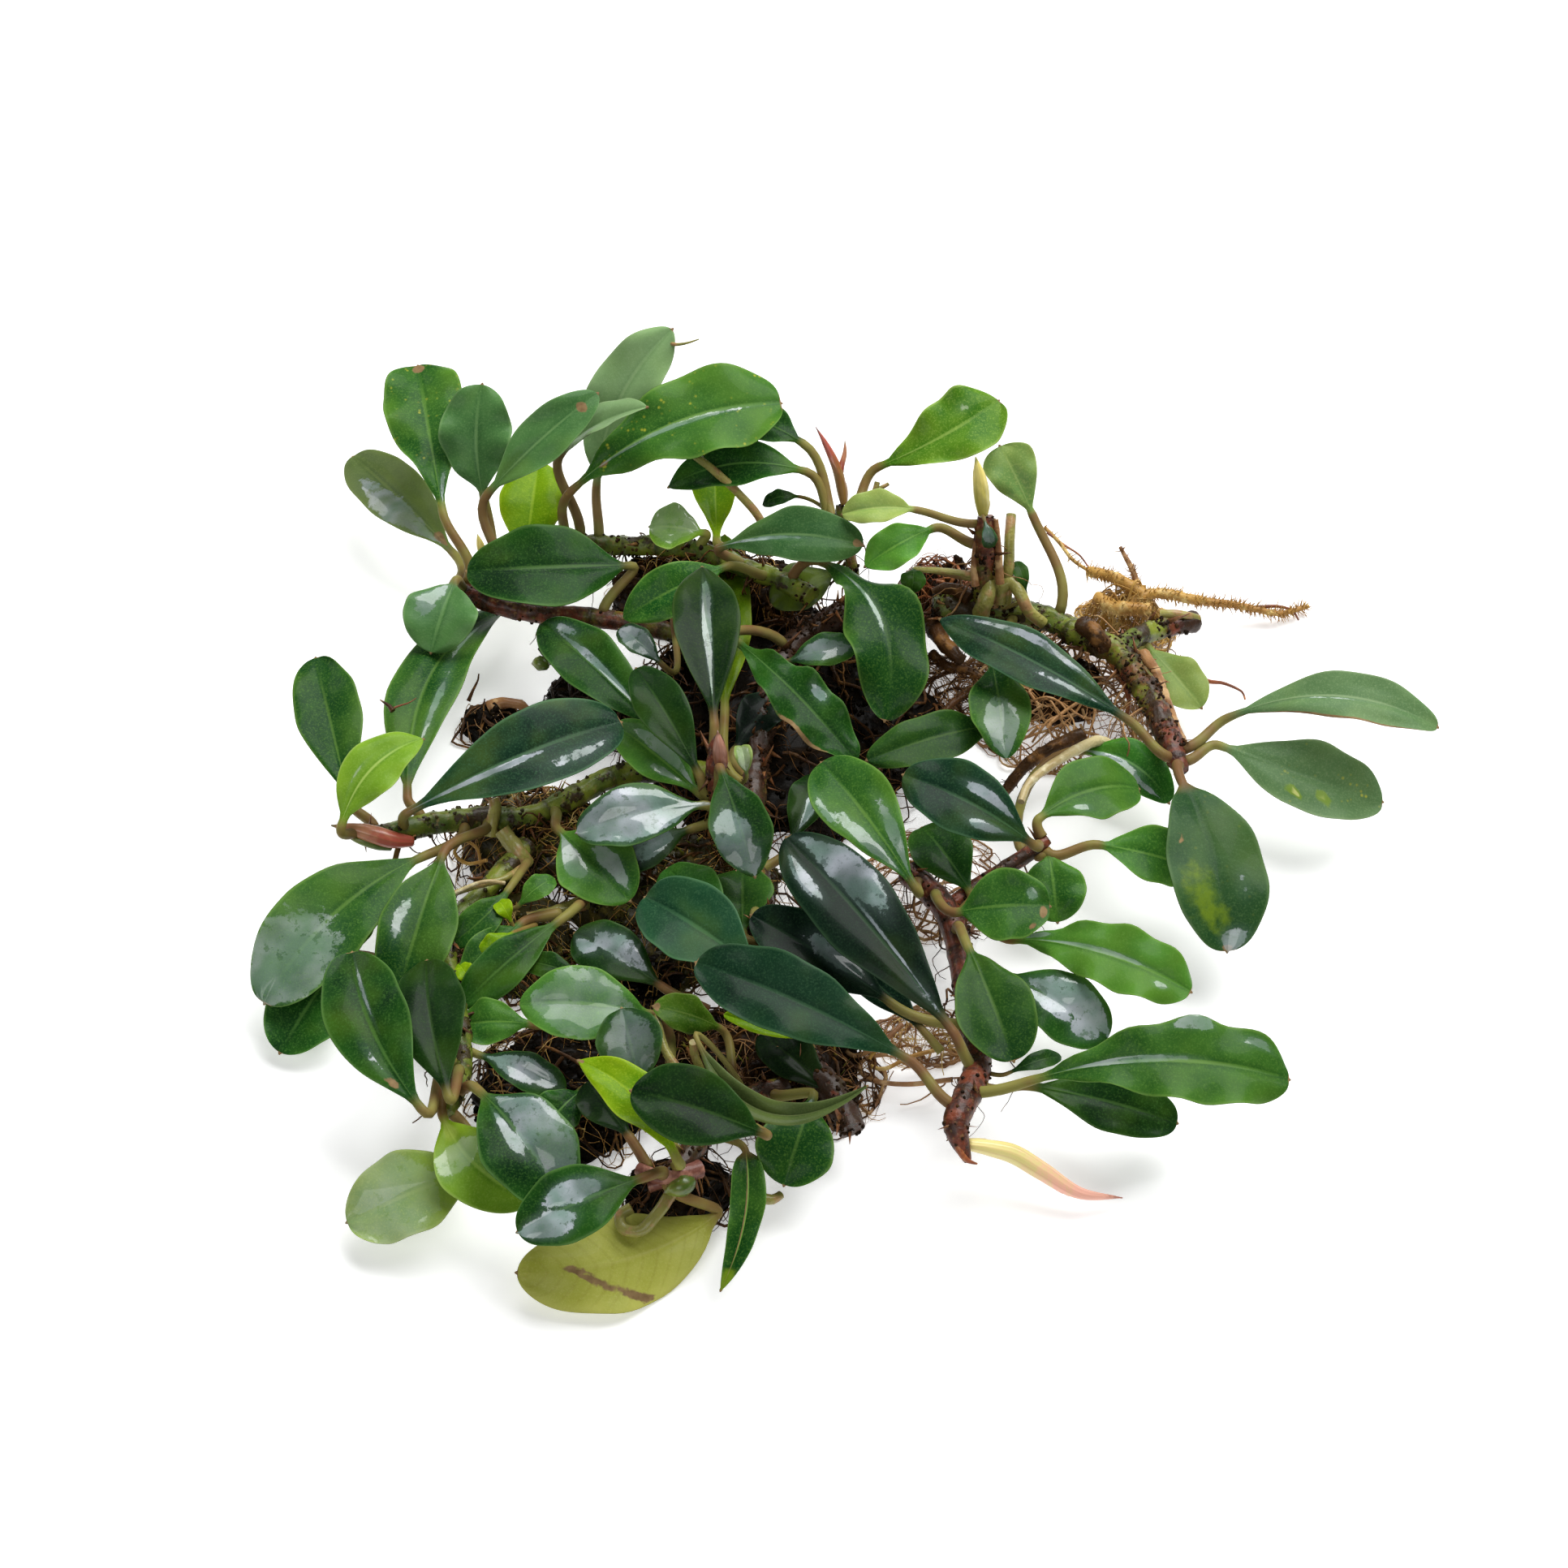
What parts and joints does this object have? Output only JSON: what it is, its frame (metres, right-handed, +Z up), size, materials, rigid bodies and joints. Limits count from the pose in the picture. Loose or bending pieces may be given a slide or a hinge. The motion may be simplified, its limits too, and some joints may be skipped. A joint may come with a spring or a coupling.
{
  "type": "bucephalandra plant",
  "caption": "Bare-rooted sprawling bucephalandra: a flat mat of creeping stems with stalked glossy leaves, buds and matted roots.",
  "frame": {"origin": "on the surface the plant lies on, under the middle of the mat of leaves", "axes": "+Z up from the surface, +X to the right and +Y to the back as the plant is seen in its picture"},
  "size_m": [0.1534, 0.1429, 0.0331],
  "materials": {
    "leaf": "glossy leaf with a waxy skin; leather stands in for leaf tissue",
    "stem": "satin, brown to green; wood stands in for a fleshy rhizome",
    "root": "matt, tan to black, with soil; wood stands in for matted roots",
    "bud": "satin, reddish; leather stands in for soft bud tissue",
    "spathe": "satin, yellow-green; leather stands in for soft sheath tissue"
  },
  "bodies": {
    "root": {"bud_northeast": "bud", "leaf_centre_1": "leaf", "leaf_centre_4": "leaf", "leaf_centre_5": "leaf", "leaf_centre_6": "leaf", "leaf_centre_8": "leaf", "leaf_east_1": "leaf", "leaf_east_2": "leaf", "leaf_east_3": "leaf", "leaf_east_4": "leaf", "leaf_east_5": "leaf", "leaf_middle_3": "leaf", "leaf_middle_4": "leaf", "leaf_middle_5": "leaf", "leaf_north_1": "leaf", "leaf_north_3": "leaf", "leaf_north_4": "leaf", "leaf_north_8": "leaf", "leaf_northeast_3": "leaf", "leaf_northwest_1": "leaf", "leaf_northwest_2": "leaf", "leaf_northwest_3": "leaf", "leaf_northwest_4": "leaf", "leaf_northwest_6": "leaf", "leaf_south_1": "leaf", "leaf_south_4": "leaf", "leaf_south_5": "leaf", "leaf_south_8": "leaf", "leaf_south_9": "leaf", "leaf_southeast_1": "leaf", "leaf_southeast_2": "leaf", "leaf_southeast_3": "leaf", "leaf_southeast_5": "leaf", "leaf_southeast_6": "leaf", "leaf_southeast_7": "leaf", "leaf_southwest_1": "leaf", "leaf_southwest_2": "leaf", "leaf_southwest_3": "leaf", "leaf_southwest_5": "leaf", "leaf_west_1": "leaf", "leaf_west_2": "leaf", "leaf_west_4": "leaf", "leaf_west_5": "leaf", "leaf_west_6": "leaf", "root_east": "root", "root_mat_centre": "root", "root_mat_east": "root", "root_mat_south": "root", "root_mat_west": "root", "root_pale": "root", "spathe_pink": "bud", "spathe_yellow": "spathe", "stem_east": "stem", "stem_main": "stem", "stem_north": "stem", "stem_northwest": "stem", "stem_south": "stem", "stem_southeast": "stem", "stem_southwest": "stem", "stem_west": "stem"}
  },
  "joints": []
}
